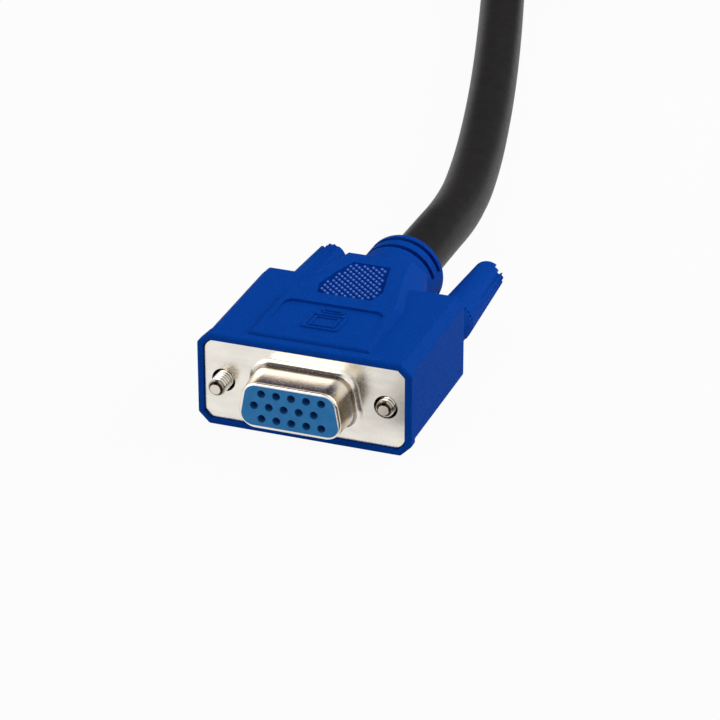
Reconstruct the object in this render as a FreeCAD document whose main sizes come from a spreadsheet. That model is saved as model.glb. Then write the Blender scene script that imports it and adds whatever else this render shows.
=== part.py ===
import FreeCAD, Part
import math
import os
import re

import Sketcher
from FreeCAD import Placement, Rotation, Vector

# KVM cable in mm. The origin is the middle of the socket's flange face, +X is right seen from the
# front, +Y runs back along the cable and +Z is up.
SIZES = {
    # Flange plates and drawn D skirt of the socket
    "flange_margin": 2.91,
    "flange_rise": 2.325,
    "flange_corner": 1.8,
    "plate_thickness": 0.5,
    "screw_spacing": 24.99,
    "skirt_width": 16.33,
    "skirt_height": 7.9,
    "skirt_depth": 5.9,
    "skirt_slope": 10.0,
    "skirt_corner": 2.5,
    "skirt_draft": 0.3,
    "shell_wall": 0.45,
    "root_round": 1.0,
    "rim_land": 0.06,
    "mating_gap": 0.27,
    # Box of the rear shell and the two insulator blocks inside it
    "box_margin": 1.0,
    "box_depth": 6.0,
    "box_corner": 1.2,
    "boss_step": 1.25,
    "boss_length": 1.5,
    "front_block": 3.0,
    "plug_face_recess": 5.1,
    # Contact holes, socket contacts and plug pins
    "contact_pitch": 2.29,
    "row_spacing": 1.98,
    "row_shift": 0.28,
    "contact_diameter": 1.1,
    "contact_gap": 0.07,
    "contact_bore": 0.8,
    "bore_depth": 5.0,
    "contact_recess": 2.0,
    "shoulder_diameter": 1.5,
    "shoulder_length": 0.8,
    "tail_diameter": 1.0,
    "pin_diameter": 0.76,
    "pin_recess": 0.7,
    "pin_point": 0.25,
    # Hood: lip round the plates, body with shoulders
    "lip_wall": 0.975,
    "lip_chamfer": 1.7,
    "lip_depth": 1.8,
    "lip_overhang": 0.5,
    "seat_gap": 0.12,
    "lip_step": 0.4,
    "body_chamfer": 1.3,
    "body_length": 24.6,
    "edge_round": 0.5,
    # Hood: plateau above and below, narrowing into the neck
    "plateau_rise": 1.13,
    "plateau_width": 17.2,
    "plateau_bury": 2.0,
    "plateau_draft": 36.0,
    "plateau_front": 2.6,
    "plateau_bend": 15.0,
    "neck_width": 9.2,
    "neck_end": 31.8,
    "crest_front": 13.6,
    "crest_back": 24.0,
    "nose_drop": 0.55,
    "neck_drop": 0.5,
    "plateau_round": 0.5,
    "panel_margin": 0.85,
    "panel_back": 13.3,
    "panel_depth": 0.38,
    "panel_corner": 1.5,
    # Hood: grip patches with their pyramids
    "grip_front": 16.4,
    "grip_middle": 19.5,
    "grip_back": 28.6,
    "grip_front_width": 8.6,
    "grip_middle_width": 10.0,
    "grip_back_width": 6.0,
    "grip_depth": 0.45,
    "stud_pitch": 1.36,
    "stud_step": 0.615,
    "stud_width": 0.8,
    "stud_flat": 0.14,
    "stud_height": 0.42,
    # Hood: collar with two slots above and two below
    "collar_wall": 2.2,
    "collar_end": 44.0,
    "collar_round": 0.7,
    "slot_width": 1.0,
    "slot_pitch": 2.7,
    "slot_inset": 2.0,
    "slot_wall": 0.9,
    "slot_sweep": 150.0,
    # Cores inside the hood and the cable
    "fan_margin": 0.6,
    "fan_length": 5.0,
    "jacket_wall": 0.7,
    "jacket_start": 34.0,
    "cable_diameter": 8.2,
    # Thumbscrews
    "screw_reach": 3.3,
    "thread_diameter": 2.72,
    "thread_length": 8.4,
    "tip_chamfer": 0.6,
    "shank_diameter": 2.5,
    "groove_gap": 0.8,
    "groove_width": 0.7,
    "groove_diameter": 1.8,
    "ring_diameter": 4.6,
    "ring_thickness": 0.6,
    "ring_fit": 0.05,
    "ring_mouth": 1.4,
    "screw_travel": 4.0,
    "running_gap": 0.3,
    "thread_gap": 0.46,
    "shank_depth": 14.0,
    "knob_length": 20.0,
    "knob_diameter": 6.5,
    "knob_nose": 5.4,
    "knob_nose_length": 1.8,
    "knob_end": 4.9,
    "knob_edge": 0.35,
    "driver_slot": 1.5,
    "driver_depth": 1.2,
    "flute_start": 5.0,
    "flute_front": 0.45,
    "flute_back": 0.62,
    "flute_depth": 0.4,
    "flute_spread": 20.0,
    "flute_turn": 27.0,
    "notch_width": 0.44,
    "notch_depth": 0.18,
    "notch_length": 0.8,
    "left_turn": 65.0,
    "right_turn": -39.0,
    "right_back": 2.2,
    # Coil of the stored length and its strap
    "coil_width": 87.2,
    "tie_thickness": 0.8,
    "tie_sweep": 14.0,
    "tie_turn": 160.0,
}

# Route of the cable's middle line: from the socket's jacket end to the coil, and from the coil to
# the plug's jacket end.
LEAD = [
    (0.0, 34.0, 0.0),
    (0.0, 54.0, 0.0),
    (-1.5, 75.0, -2.7),
    (-5.6, 96.0, -4.0),
    (-10.8, 118.0, -4.0),
    (-16.5, 139.5, -4.0),
    (-22.6, 161.0, -4.0),
    (-29.0, 182.5, -4.0),
    (-35.15, 202.5, -4.0),
    (-41.45, 222.5, -4.0),
    (-47.55, 241.5, -4.0),
]
TAIL = [
    (-36.7, 293.4, 4.2),
    (-20.7, 305.0, 4.8),
    (-1.4, 308.7, 8.0),
    (17.65, 303.8, 12.5),
    (32.8, 291.3, 15.6),
    (41.2, 273.5, 16.4),
    (41.2, 253.9, 16.4),
]
RUN_SHARE = 0.45
VOLUME_TOLERANCE = 0.01
COIL_TURNS_ACROSS = 3
COIL_LAYERS = 2
ROWS = 3
COLUMNS = 5
FLUTES_PER_GROUP = 3
KNOB_NOTCHES = 30
COLLAR_SLOTS = 2
FULL_TURN = 360
HALF_TURN = 180
QUARTER_TURN = 90
MATCH = 0.001

doc = FreeCAD.newDocument("kvm_cable")
sheet = doc.addObject("Spreadsheet::Sheet", "Sizes")
for row, (name, value) in enumerate(SIZES.items(), start=1):
    sheet.set(f"A{row}", name)
    sheet.set(f"B{row}", str(value))
    sheet.setAlias(f"B{row}", name)
doc.recompute()

# Widths and heights that follow from the sizes
FLANGE = ("(screw_spacing + 2 * flange_margin)", "(skirt_height + 2 * flange_rise)")
SEAT = tuple(f"({size} + 2 * seat_gap)" for size in FLANGE)
LIP = tuple(f"({size} + 2 * lip_wall)" for size in SEAT)
BODY = tuple(f"({size} - 2 * lip_step)" for size in LIP)
BOX = ("(skirt_width + 2 * box_margin)", "(skirt_height + 2 * box_margin)")
BOX_INSIDE = tuple(f"({size} - 2 * shell_wall)" for size in BOX)
BOSS = tuple(f"({size} - 2 * boss_step)" for size in BOX)
FAN = (
    f"(contact_pitch * {COLUMNS} + tail_diameter + 2 * fan_margin)",
    f"(row_spacing * {ROWS - 1} + tail_diameter + 2 * fan_margin)",
)
FLANGE_HOLE = "(thread_diameter + 2 * thread_gap)"
CONTACT_HOLE = "(contact_diameter + 2 * contact_gap)"
BUNDLE = "(cable_diameter - 2 * jacket_wall)"
COLLAR = "(cable_diameter + 2 * collar_wall)"
SLOT_CORE = "(cable_diameter + 2 * slot_wall)"
PANEL_HALF = "(plateau_width / 2 - panel_margin)"
# Half height of the hood, half height where the plateau starts, and the run of its drafted faces
CREST = f"({BODY[1]} / 2 + plateau_rise)"
ROOT = f"({BODY[1]} / 2 - plateau_bury)"
DRAFT_RUN = "((plateau_rise + plateau_bury) * tan(plateau_draft * 1 deg))"
# Levels along Y that several pieces share
PLATE_BACK = "(2 * plate_thickness)"
BLOCK_BACK = "(plate_thickness + front_block)"
BOX_BACK = "(plate_thickness + box_depth)"
BOSS_BACK = f"({BOX_BACK} + boss_length)"
FAN_BACK = f"({BOSS_BACK} + fan_length)"
GROOVE_FRONT = "(thread_length + groove_gap - screw_reach)"
RING_FRONT = f"({GROOVE_FRONT} + (groove_width - ring_thickness) / 2)"
RING_POCKET_BACK = f"({RING_FRONT} + ring_thickness + screw_travel + running_gap)"
KNOB_FRONT = "(body_length + running_gap)"
KNOB_BACK = f"({KNOB_FRONT} + knob_length)"
SHANK_BACK = f"({KNOB_FRONT} + shank_depth)"
nodes = []


def expand(text):
    """Put the sheet's name before every size named in an expression."""
    return re.sub(r"[a-z_]+", lambda word: f"Sizes.{word[0]}" if word[0] in SIZES else word[0], text)


def number(text):
    return float(sheet.evalExpression(expand(text)))


def bind(thing, prop, text):
    thing.setExpression(prop, expand(text))


def rectangle(width, height):
    x = f"({width}) / 2"
    z = f"({height}) / 2"
    return [(f"-{x}", f"-{z}"), (x, f"-{z}"), (x, z), (f"-{x}", z)]


def octagon(width, height, chamfer):
    """Rectangle with its four corners cut at 45 degrees."""
    x = f"({width} / 2)"
    z = f"({height} / 2)"
    corner = []
    for sx, sz, first in (("-", "-", "z"), ("", "-", "x"), ("", "", "z"), ("-", "", "x")):
        beside = (f"{sx}{x}", f"{sz}({z} - {chamfer})")
        above = (f"{sx}({x} - {chamfer})", f"{sz}{z}")
        corner += [beside, above] if first == "z" else [above, beside]
    return corner


def d_outline(outset):
    """Sharp corners of the D skirt's outline, wide side down, grown by outset all round."""
    lean = "tan(skirt_slope * 1 deg)"
    stretch = "1 / cos(skirt_slope * 1 deg)"
    foot = f"(skirt_width / 2 + skirt_corner * ({lean} + {stretch} - 1))"
    wide = f"({foot} + ({outset}) * ({lean} + {stretch}))"
    narrow = f"({foot} - (skirt_height + {outset}) * {lean} + ({outset}) * {stretch})"
    z = f"(skirt_height / 2 + {outset})"
    return [(f"-{wide}", f"-{z}"), (wide, f"-{z}"), (narrow, z), (f"-{narrow}", z)]


def hole_places():
    """Middles of the fifteen contact holes, top row first, left to right seen from the front."""
    places = []
    for line in range(ROWS):
        shift = "row_shift" if line != 1 else "row_shift - contact_pitch / 2"
        for column in range(COLUMNS):
            x = f"({shift} + contact_pitch * {column - COLUMNS // 2})"
            places.append((x, f"(row_spacing * {ROWS // 2 - line})"))
    return places


def screw_places():
    return [("-screw_spacing / 2", "0"), ("screw_spacing / 2", "0")]


def discs(places, diameter):
    return [(x, z, f"({diameter}) / 2") for x, z in places]


def new_body(label):
    body = doc.addObject("PartDesign::Body", label)
    body.Label = label
    return body


def origin_feature(body, role):
    return next(item for item in body.Origin.OriginFeatures if item.Role == role)


def place_point(sketch, geometry, point, x, y):
    for kind, text in (("DistanceX", x), ("DistanceY", y)):
        index = sketch.addConstraint(Sketcher.Constraint(kind, -1, 1, geometry, point, number(text)))
        bind(sketch, f"Constraints[{index}]", text)


def draw_polygon(sketch, points):
    first = sketch.GeometryCount
    corners = [Vector(number(x), number(y), 0) for x, y in points]
    for index, corner in enumerate(corners):
        sketch.addGeometry(Part.LineSegment(corner, corners[(index + 1) % len(corners)]), False)
    for index, (x, y) in enumerate(points):
        after = first + (index + 1) % len(points)
        sketch.addConstraint(Sketcher.Constraint("Coincident", first + index, 2, after, 1))
        place_point(sketch, first + index, 1, x, y)


def draw_disc(sketch, x, y, radius):
    circle = Part.Circle(Vector(number(x), number(y), 0), Vector(0, 0, 1), number(radius))
    geometry = sketch.addGeometry(circle, False)
    place_point(sketch, geometry, 3, x, y)
    index = sketch.addConstraint(Sketcher.Constraint("Radius", geometry, number(radius)))
    bind(sketch, f"Constraints[{index}]", radius)


def sketch_on(body, role, loops, level="0"):
    """Sketch on an origin plane moved to a level. A loop is a polygon or an (x, y, radius) disc."""
    sketch = body.newObject("Sketcher::SketchObject", f"{body.Label}_sketch")
    sketch.AttachmentSupport = [(origin_feature(body, role), "")]
    sketch.MapMode = "FlatFace"
    bind(sketch, "AttachmentOffset.Base.z", f"-({level})" if role == "XZ_Plane" else level)
    for loop in loops:
        if isinstance(loop, tuple):
            draw_disc(sketch, *loop)
        else:
            draw_polygon(sketch, loop)
    return sketch


def slab(body, role, loops, low, high, cut=False):
    """Add or cut the loops between two levels along the plane's axis. The XZ plane faces -Y."""
    faces_back = role == "XZ_Plane"
    level = high if faces_back != cut else low
    feature_type = "PartDesign::Pocket" if cut else "PartDesign::Pad"
    sketch = sketch_on(body, role, loops, level)
    feature = body.newObject(feature_type, f"{body.Label}_slab")
    feature.Profile = sketch
    bind(feature, "Length", f"({high}) - ({low})")
    doc.recompute()


def cut_across(body, points, width):
    """Cut a side profile, drawn in Y and Z, through the whole width."""
    sketch = sketch_on(body, "YZ_Plane", [points])
    feature = body.newObject("PartDesign::Pocket", f"{body.Label}_cut")
    feature.Profile = sketch
    feature.SideType = "Symmetric"
    bind(feature, "Length", width)
    doc.recompute()


def spin(body, role, loops, axis, sweep="360", cut=False):
    """Turn loops about an origin axis, the sweep centred on the sketch."""
    sketch = sketch_on(body, role, loops)
    feature_type = "PartDesign::Groove" if cut else "PartDesign::Revolution"
    feature = body.newObject(feature_type, f"{body.Label}_turned")
    feature.Profile = sketch
    feature.ReferenceAxis = (origin_feature(body, axis), [""])
    feature.Midplane = True
    bind(feature, "Angle", sweep)
    doc.recompute()


def round_edges(body, radius, chosen):
    """Fillet the edges of the body so far for which chosen(edge) is true."""
    tip = body.Tip
    names = [f"Edge{n}" for n, edge in enumerate(tip.Shape.Edges, start=1) if chosen(edge)]
    feature = body.newObject("PartDesign::Fillet", f"{body.Label}_round")
    feature.Base = (tip, names)
    bind(feature, "Radius", radius)
    doc.recompute()


def round_corners(body, points, radius, axis="y"):
    """Fillet the straight edges along one axis that pass through the given corners."""
    across = "xz" if axis == "y" else "xy"
    corners = [(number(first), number(second)) for first, second in points]

    def chosen(edge):
        ends = [vertex.Point for vertex in edge.Vertexes]
        if len(ends) != 2 or (ends[0] - ends[1]).Length - abs(getattr(ends[0] - ends[1], axis)) > MATCH:
            return False
        place = [getattr(ends[0], letter) for letter in across]
        return any(math.dist(place, corner) < MATCH for corner in corners)

    round_edges(body, radius, chosen)


def round_face_outline(body, level, radius, reach=LIP[0]):
    """Fillet every edge that lies in the plane at one Y level and within reach of the middle."""
    y = number(level)
    limit = number(reach) / 2

    def chosen(edge):
        box = edge.BoundBox
        flat = abs(box.YMin - y) < MATCH and abs(box.YMax - y) < MATCH
        return flat and max(abs(box.XMin), abs(box.XMax)) < limit + MATCH

    round_edges(body, radius, chosen)


def put(thing, end, x="0", y="0", z="0", turn="0"):
    """Place a piece at a connector end, turned about its own Y axis."""
    spot = Vector(number(x), number(y), number(z))
    thing.Placement = end.multiply(Placement(spot, Rotation(Vector(0, 1, 0), number(turn))))


def keep(thing):
    nodes.append(thing)
    return thing


def solid_feature(label, shape, end):
    feature = doc.addObject("Part::Feature", label)
    feature.Label = label
    feature.Shape = shape
    feature.Placement = end
    return feature


def combine(kind, label, base, tool):
    feature = doc.addObject(f"Part::{kind}", label)
    feature.Label = label
    feature.Base = base
    feature.Tool = tool
    doc.recompute()
    return feature


def flange(body, low, high):
    """Flange plate with round corners, shared by the front and rear shells."""
    outline = rectangle(*FLANGE)
    slab(body, "XZ_Plane", [outline], low, high)
    round_corners(body, outline, "flange_corner")


def d_block(label, outset, low, high, draft="0"):
    """Solid with the D outline and round corners, its front narrower by draft on every side."""
    body = new_body(label)
    back = sketch_on(body, "XZ_Plane", [d_outline(outset)], high)
    front = sketch_on(body, "XZ_Plane", [d_outline(f"({outset} - {draft})")], low)
    loft = body.newObject("PartDesign::AdditiveLoft", f"{label}_drawn")
    loft.Profile = back
    loft.Sections = [front]
    loft.Ruled = True
    doc.recompute()
    depth = number(f"({high}) - ({low})")
    round_edges(body, f"skirt_corner + {outset}", lambda edge: edge.BoundBox.YLength > depth - MATCH)
    return body


def inside_outset(outset, draft):
    """Outset of the D inside a skirt whose wall is thinnest at the front."""
    return f"({outset} - {draft} - shell_wall)"


def front_shell(label, end, outset, draft):
    body = d_block(f"{label}_outside", outset, "-skirt_depth", "plate_thickness", draft)
    flange(body, "0", "plate_thickness")
    round_face_outline(body, "0", "root_round", f"skirt_width + 2 * ({outset})")
    round_face_outline(body, "-skirt_depth", "shell_wall - rim_land")
    slab(body, "XZ_Plane", discs(screw_places(), FLANGE_HOLE), "0", "plate_thickness", cut=True)
    inside = d_block(f"{label}_inside", inside_outset(outset, draft), "-skirt_depth", "plate_thickness")
    for thing in (body, inside):
        put(thing, end)
    keep(combine("Cut", label, body, inside))


def rear_shell(label, end):
    body = new_body(label)
    outside = rectangle(*BOX)
    inside = rectangle(*BOX_INSIDE)
    slab(body, "XZ_Plane", [outside], "plate_thickness", BOX_BACK)
    round_corners(body, outside, "box_corner")
    flange(body, "plate_thickness", PLATE_BACK)
    slab(body, "XZ_Plane", [inside], "plate_thickness", f"{BOX_BACK} - shell_wall", cut=True)
    round_corners(body, inside, "box_corner - shell_wall")
    opening = rectangle(*BOSS)
    slab(body, "XZ_Plane", [opening], f"{BOX_BACK} - shell_wall", BOX_BACK, cut=True)
    holes = discs(screw_places(), FLANGE_HOLE)
    slab(body, "XZ_Plane", holes, "plate_thickness", PLATE_BACK, cut=True)
    put(body, end)
    keep(body)


def front_insulator(label, end, outset, face, hole):
    """Block whose D nose fills the skirt, with a through hole for every contact."""
    body = d_block(label, outset, face, "plate_thickness")
    block = rectangle(*BOX_INSIDE)
    slab(body, "XZ_Plane", [block], "plate_thickness", BLOCK_BACK)
    round_corners(body, block, "box_corner - shell_wall")
    slab(body, "XZ_Plane", discs(hole_places(), hole), face, BLOCK_BACK, cut=True)
    put(body, end)
    keep(body)


def rear_insulator(label, end):
    """Block behind the first, bored for the contact tails and counterbored for their shoulders."""
    body = new_body(label)
    block = rectangle(*BOX_INSIDE)
    slab(body, "XZ_Plane", [block], BLOCK_BACK, f"{BOX_BACK} - shell_wall")
    round_corners(body, block, "box_corner - shell_wall")
    boss = rectangle(*BOSS)
    slab(body, "XZ_Plane", [boss], f"{BOX_BACK} - shell_wall", BOSS_BACK)
    slab(body, "XZ_Plane", discs(hole_places(), "tail_diameter"), BLOCK_BACK, BOSS_BACK, cut=True)
    seats = discs(hole_places(), "shoulder_diameter")
    slab(body, "XZ_Plane", seats, BLOCK_BACK, f"{BLOCK_BACK} + shoulder_length", cut=True)
    put(body, end)
    keep(body)


def contact_back():
    """Shoulder and tail of a contact, from the shoulder's foot round to the axis."""
    shoulder_back = f"({BLOCK_BACK} + shoulder_length)"
    return [
        ("shoulder_diameter / 2", BLOCK_BACK),
        ("shoulder_diameter / 2", shoulder_back),
        ("tail_diameter / 2", shoulder_back),
        ("tail_diameter / 2", BOSS_BACK),
        ("0", BOSS_BACK),
    ]


def socket_contact(label, end, x, z):
    body = new_body(label)
    front = "(contact_recess - skirt_depth)"
    profile = [
        ("contact_bore / 2", front),
        ("contact_diameter / 2", front),
        ("contact_diameter / 2", BLOCK_BACK),
        *contact_back(),
        ("0", f"{front} + bore_depth"),
        ("contact_bore / 2", f"{front} + bore_depth"),
    ]
    spin(body, "XY_Plane", [profile], "Y_Axis")
    put(body, end, x=x, z=z)
    keep(body)


def plug_pins(label, end):
    """Fifteen solid pins, one turned body copied to every place."""
    body = new_body("pin_pattern")
    tip = "(pin_recess - skirt_depth)"
    profile = [
        ("0", tip),
        ("pin_diameter / 2 - pin_point", tip),
        ("pin_diameter / 2", f"{tip} + pin_point"),
        ("pin_diameter / 2", BLOCK_BACK),
        *contact_back(),
    ]
    spin(body, "XY_Plane", [profile], "Y_Axis")
    spots = [Vector(number(x), 0, number(z)) for x, z in hole_places()]
    pins = [body.Shape.translated(spot) for spot in spots]
    keep(solid_feature(label, Part.makeCompound(pins), end))


def wire_bundle(label, end):
    body = new_body(label)
    slab(body, "XZ_Plane", [rectangle(*FAN)], BOSS_BACK, FAN_BACK)
    slab(body, "XZ_Plane", discs([("0", "0")], BUNDLE), FAN_BACK, "jacket_start")
    put(body, end)
    keep(body)


def plateau_plan(run):
    """Outline of the plateau seen from above, grown by run from its top edge."""
    side = f"(plateau_width / 2 + {run})"
    rear = f"(neck_width / 2 + {run})"
    front_y = f"plateau_front - {run}"
    bend_y = f"plateau_bend + {run}"
    rear_y = f"neck_end + {run}"
    right = [(side, front_y), (side, bend_y), (rear, rear_y)]
    return right + [(f"-{x}", y) for x, y in reversed(right)]


def add_plateau(body, sign):
    base = sketch_on(body, "XY_Plane", [plateau_plan(DRAFT_RUN)], f"{sign}{ROOT}")
    top = sketch_on(body, "XY_Plane", [plateau_plan("0")], f"{sign}{CREST}")
    loft = body.newObject("PartDesign::AdditiveLoft", f"{body.Label}_plateau")
    loft.Profile = base
    loft.Sections = [top]
    loft.Ruled = True
    doc.recompute()


def slope_plateau(body, sign):
    """Let the crest fall a little towards the lip and towards the collar."""
    above = f"{sign}2 * {CREST}"
    crest = f"{sign}{CREST}"
    nose = "nose_drop * crest_front / (crest_front - plateau_front)"
    neck = "neck_drop * (collar_end - crest_back) / (neck_end - crest_back)"
    for start, finish, drop in (("crest_front", "0", nose), ("crest_back", "collar_end", neck)):
        low = f"{sign}({CREST} - {drop})"
        profile = [(start, crest), (finish, low), (finish, above), (start, above)]
        cut_across(body, profile, LIP[0])


def round_plateau(body):
    """Soften the outline of both crests, and leave the folds across them."""
    clear = number(f"{BODY[1]} / 2")
    lip_back = number("lip_depth - lip_overhang")
    folds = [number("crest_front"), number("crest_back")]

    def chosen(edge):
        box = edge.BoundBox
        lowest = min(abs(box.ZMin), abs(box.ZMax))
        fold = any(abs(box.YMin - level) < MATCH and box.YLength < MATCH for level in folds)
        return lowest > clear + MATCH and box.YMin > lip_back + MATCH and not fold

    round_edges(body, "plateau_round", chosen)


def cut_from_above(body, outline, depth, sign):
    floor = f"{sign}({CREST} - {depth})"
    above = f"{sign}2 * {CREST}"
    low, high = (above, floor) if sign else (floor, above)
    slab(body, "XY_Plane", [outline], low, high, cut=True)


def cut_collar_slots(body, sign):
    for step in range(COLLAR_SLOTS):
        back = f"(collar_end - slot_inset - slot_pitch * {step} + slot_width / 2)"
        front = f"({back} - slot_width)"
        inner = f"{sign}{SLOT_CORE} / 2"
        outer = f"{sign}{COLLAR}"
        groove = [(front, inner), (back, inner), (back, outer), (front, outer)]
        spin(body, "YZ_Plane", [groove], "Y_Axis", "slot_sweep", cut=True)


def cut_cavities(body):
    """Seat of the plates, room for the shells, the cores and the cable, and the screw channels."""
    seat = octagon(*SEAT, "flange_corner * (2 - sqrt(2))")
    slab(body, "XZ_Plane", [seat], "-lip_overhang", PLATE_BACK, cut=True)
    box = rectangle(*BOX)
    slab(body, "XZ_Plane", [box], PLATE_BACK, BOX_BACK, cut=True)
    round_corners(body, box, "box_corner")
    boss = rectangle(*BOSS)
    slab(body, "XZ_Plane", [boss], BOX_BACK, BOSS_BACK, cut=True)
    slab(body, "XZ_Plane", [rectangle(*FAN)], BOSS_BACK, FAN_BACK, cut=True)
    middle = [("0", "0")]
    slab(body, "XZ_Plane", discs(middle, BUNDLE), FAN_BACK, "jacket_start", cut=True)
    slab(body, "XZ_Plane", discs(middle, "cable_diameter"), "jacket_start", "collar_end", cut=True)
    pockets = discs(screw_places(), "ring_diameter + 2 * running_gap")
    slab(body, "XZ_Plane", pockets, PLATE_BACK, RING_POCKET_BACK, cut=True)
    channels = discs(screw_places(), "shank_diameter + 2 * running_gap")
    slab(body, "XZ_Plane", channels, RING_POCKET_BACK, "body_length", cut=True)


def grip_outline():
    right = [
        ("grip_front_width / 2", "grip_front"),
        ("grip_middle_width / 2", "grip_middle"),
        ("grip_back_width / 2", "grip_back"),
    ]
    return right + [(f"-{x}", y) for x, y in reversed(right)]


def grip_half_width(y):
    """Half width of a grip patch at one level along Y."""
    right = [(number(half), number(level)) for half, level in grip_outline()[:3]]
    for (near_half, near), (far_half, far) in zip(right, right[1:]):
        if near <= y <= far:
            return near_half + (far_half - near_half) * (y - near) / (far - near)
    return 0


def grip_studs(label):
    """Pyramids on a diagonal lattice, inside both grip patches."""
    base = number("stud_width / 2")
    flat = number("stud_flat / 2")
    height = number("stud_height")
    pitch = number("stud_pitch")
    step = number("stud_step")
    floor = number(f"{CREST} - grip_depth")
    inset = number("stud_width / sqrt(2)")
    stud = Part.makeWedge(-base, 0, -base, -flat, -flat, base, height, base, flat, flat)
    stud.rotate(Vector(0, 0, 0), Vector(0, 1, 0), QUARTER_TURN / 2)
    stud.rotate(Vector(0, 0, 0), Vector(1, 0, 0), QUARTER_TURN)
    studs = []
    first = number("grip_front") + inset
    rows = int((number("grip_back") - inset - first) / step)
    for line in range(rows + 1):
        y = first + line * step
        shift = line % 2
        reach = int((grip_half_width(y) - inset) / pitch - shift / 2)
        for column in range(-reach - shift, reach + 1):
            above = stud.translated(Vector((column + shift / 2) * pitch, y, floor))
            studs.append(above)
            studs.append(above.mirror(Vector(0, 0, 0), Vector(0, 0, 1)))
    return solid_feature(label, Part.makeCompound(studs), Placement())


def hood(label):
    body = new_body(f"{label}_moulding")
    outline = octagon(*BODY, "body_chamfer")
    slab(body, "XZ_Plane", [outline], "0", "body_length")
    round_corners(body, outline, "edge_round")
    round_face_outline(body, "body_length", "edge_round")
    lip = octagon(*LIP, "lip_chamfer")
    slab(body, "XZ_Plane", [lip], "-lip_overhang", "lip_depth - lip_overhang")
    round_corners(body, lip, "edge_round")
    round_face_outline(body, "-lip_overhang", "edge_round")
    slab(body, "XY_Plane", [plateau_plan(DRAFT_RUN)], f"-{ROOT}", ROOT)
    for sign in ("", "-"):
        add_plateau(body, sign)
    for sign in ("", "-"):
        slope_plateau(body, sign)
    round_plateau(body)
    slab(body, "XZ_Plane", discs([("0", "0")], COLLAR), "plateau_bend", "collar_end")
    round_face_outline(body, "collar_end", "collar_round")
    for sign in ("", "-"):
        cut_collar_slots(body, sign)
        cut_from_above(body, grip_outline(), "grip_depth", sign)
    rear_corners = [(PANEL_HALF, "panel_back"), (f"-{PANEL_HALF}", "panel_back")]
    front_corners = [(f"-{PANEL_HALF}", "plateau_front"), (PANEL_HALF, "plateau_front")]
    cut_from_above(body, front_corners + rear_corners, "panel_depth", "")
    round_corners(body, rear_corners, "panel_corner", axis="z")
    cut_cavities(body)
    return keep(combine("Fuse", label, body, grip_studs(f"{label}_studs")))


def screw(label, end, x, back):
    body = new_body(label)
    tip = "(-screw_reach)"
    thread_back = "(thread_length - screw_reach)"
    groove_back = f"({GROOVE_FRONT} + groove_width)"
    thread = "thread_diameter / 2"
    shank = "shank_diameter / 2"
    core = "groove_diameter / 2"
    profile = [
        ("0", tip),
        (f"{thread} - tip_chamfer", tip),
        (thread, f"{tip} + tip_chamfer"),
        (thread, thread_back),
        (shank, thread_back),
        (shank, GROOVE_FRONT),
        (core, GROOVE_FRONT),
        (core, groove_back),
        (shank, groove_back),
        (shank, SHANK_BACK),
        ("0", SHANK_BACK),
    ]
    spin(body, "XY_Plane", [profile], "Y_Axis")
    put(body, end, x=x, y=back)
    keep(body)


def retaining_ring(label, end, x, back):
    """Open clip in the screw's groove."""
    body = new_body(label)
    hole = "(groove_diameter + 2 * ring_fit)"
    loops = discs([("0", "0")], "ring_diameter") + discs([("0", "0")], hole)
    ring_back = f"({RING_FRONT} + ring_thickness)"
    slab(body, "XZ_Plane", loops, RING_FRONT, ring_back)
    mouth = [("-ring_mouth / 2", "0"), ("ring_mouth / 2", "0")]
    mouth += [("ring_mouth / 2", "ring_diameter"), ("-ring_mouth / 2", "ring_diameter")]
    slab(body, "XZ_Plane", [mouth], RING_FRONT, ring_back, cut=True)
    put(body, end, x=x, y=back)
    keep(body)


def flute_cutter():
    """Tapered cutter that runs out of the knob's end."""
    taper = number("(knob_diameter - knob_end) / 2 / (knob_length - knob_nose_length)")
    front_surface = number("knob_diameter / 2") - taper * number("flute_start - knob_nose_length")
    front_radius = number("flute_front / 2")
    back_radius = number("flute_back / 2")
    front_middle = Vector(front_surface + front_radius, number(f"{KNOB_FRONT} + flute_start"), 0)
    back_middle = Vector(number("knob_end / 2 - flute_depth") + back_radius, number(KNOB_BACK), 0)
    along = back_middle - front_middle
    return Part.makeCone(front_radius, back_radius, along.Length, front_middle, along)


def notch_cutter():
    """Round cutter that serrates the shoulder behind the knob's nose."""
    radius = number("notch_width / 2")
    start = Vector(number("knob_diameter / 2 - notch_depth") + radius, number(KNOB_FRONT), 0)
    return Part.makeCylinder(radius, number("knob_nose_length + notch_length"), start, Vector(0, 1, 0))


def knob_cutters(label):
    """Flutes in two groups beside the ends of the driver slot, and notches all round the shoulder."""
    cutters = []
    for group in (0, HALF_TURN):
        for step in range(FLUTES_PER_GROUP):
            middle = group + number("flute_turn")
            angle = middle + number("flute_spread") * (step - (FLUTES_PER_GROUP - 1) / 2)
            cutters.append((flute_cutter(), angle))
    for step in range(KNOB_NOTCHES):
        cutters.append((notch_cutter(), FULL_TURN * step / KNOB_NOTCHES))
    for cutter, angle in cutters:
        cutter.rotate(Vector(0, 0, 0), Vector(0, 1, 0), angle)
    return solid_feature(label, Part.makeCompound([cutter for cutter, angle in cutters]), Placement())


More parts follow.
